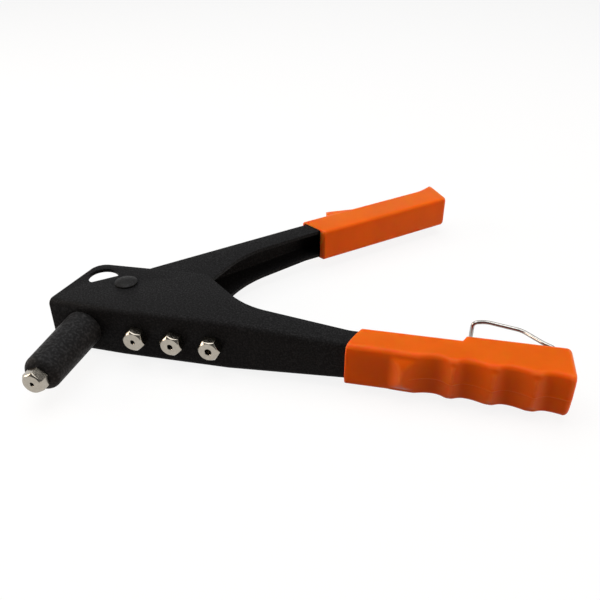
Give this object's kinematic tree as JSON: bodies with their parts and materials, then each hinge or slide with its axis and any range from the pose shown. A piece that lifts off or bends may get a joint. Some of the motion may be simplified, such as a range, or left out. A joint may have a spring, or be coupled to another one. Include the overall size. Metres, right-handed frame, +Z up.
{
  "type": "hand riveter",
  "caption": "Hand riveter with a folded steel body, a screwed-in barrel and nosepiece, spare nosepieces, a hinged lever that pulls split jaws, orange grips and a wire latch.",
  "frame": {"origin": "middle of the working nosepiece's front face, on the barrel axis", "axes": "-Y along the barrel out of the nose, +X along the body towards its grip, +Z up as the tool lies on its side"},
  "size_m": [0.2474, 0.2435, 0.0318],
  "materials": {
    "black_coat": "fine-textured satin black powder coat",
    "bright_nickel": "nickel plate over turned steel",
    "nickel_wire": "nickel-plated drawn wire",
    "grip_orange": "satin soft vinyl",
    "oiled_steel": "turned steel, lightly oiled",
    "hard_steel": "hardened dark steel",
    "spring_steel": "bright spring wire"
  },
  "bodies": {
    "body": {"body_frame": "black_coat", "barrel": "black_coat", "barrel_nut": "oiled_steel", "nosepiece_24": "bright_nickel", "nosepiece_32": "bright_nickel", "nosepiece_40": "bright_nickel", "nosepiece_48": "bright_nickel", "pivot_pin": "black_coat", "return_spring": "spring_steel", "body_grip": "grip_orange"},
    "lever": {"lever_frame": "black_coat", "pivot_bush": "oiled_steel", "lever_grip": "grip_orange"},
    "jaw_train": {"jaw_case": "oiled_steel", "jaw_tail": "oiled_steel", "pull_pin": "oiled_steel", "pusher_spring": "spring_steel"},
    "jaw_1": {"jaw_1": "hard_steel"},
    "jaw_2": {"jaw_2": "hard_steel"},
    "jaw_3": {"jaw_3": "hard_steel"},
    "pusher": {"jaw_pusher": "oiled_steel"},
    "latch": {"latch_wire": "nickel_wire"}
  },
  "joints": [
    {"name": "lever_hinge", "type": "hinge", "parent": "body", "child": "lever", "pos_m": [0.013, 0.069, 0], "axis": [0, 0, 1], "range_deg": [-39, 0], "stiffness_Nm_per_rad": 0.5, "springref_deg": 28.65, "deforming": ["return_spring"]},
    {"name": "jaw_case_slide", "type": "slide", "parent": "body", "child": "jaw_train", "axis": [0, 1, 0], "range_m": [0, 0.0095]},
    {"name": "jaw_1_slide", "type": "slide", "parent": "jaw_train", "child": "jaw_1", "axis": [0, -0.9938, 0.1113], "range_m": [0, 0.00121]},
    {"name": "jaw_2_slide", "type": "slide", "parent": "jaw_train", "child": "jaw_2", "axis": [0.0964, -0.9938, -0.0557], "range_m": [0, 0.00121]},
    {"name": "jaw_3_slide", "type": "slide", "parent": "jaw_train", "child": "jaw_3", "axis": [-0.0964, -0.9938, -0.0557], "range_m": [0, 0.00121]},
    {"name": "pusher_slide", "type": "slide", "parent": "jaw_train", "child": "pusher", "axis": [0, -1, 0], "range_m": [0, 0.00121], "deforming": ["pusher_spring"]},
    {"name": "latch_hinge", "type": "hinge", "parent": "body", "child": "latch", "pos_m": [0.22377, 0.06577, 0], "axis": [0, 0, 1], "range_deg": [-75, 19]}
  ],
  "couplings": [
    {"joint": "jaw_case_slide", "follows": "lever_hinge", "m_per_rad": -0.013526},
    {"joint": "jaw_1_slide", "follows": "lever_hinge", "m_per_rad": -0.001763},
    {"joint": "jaw_2_slide", "follows": "lever_hinge", "m_per_rad": -0.001763},
    {"joint": "jaw_3_slide", "follows": "lever_hinge", "m_per_rad": -0.001763},
    {"joint": "pusher_slide", "follows": "lever_hinge", "m_per_rad": -0.001763}
  ]
}
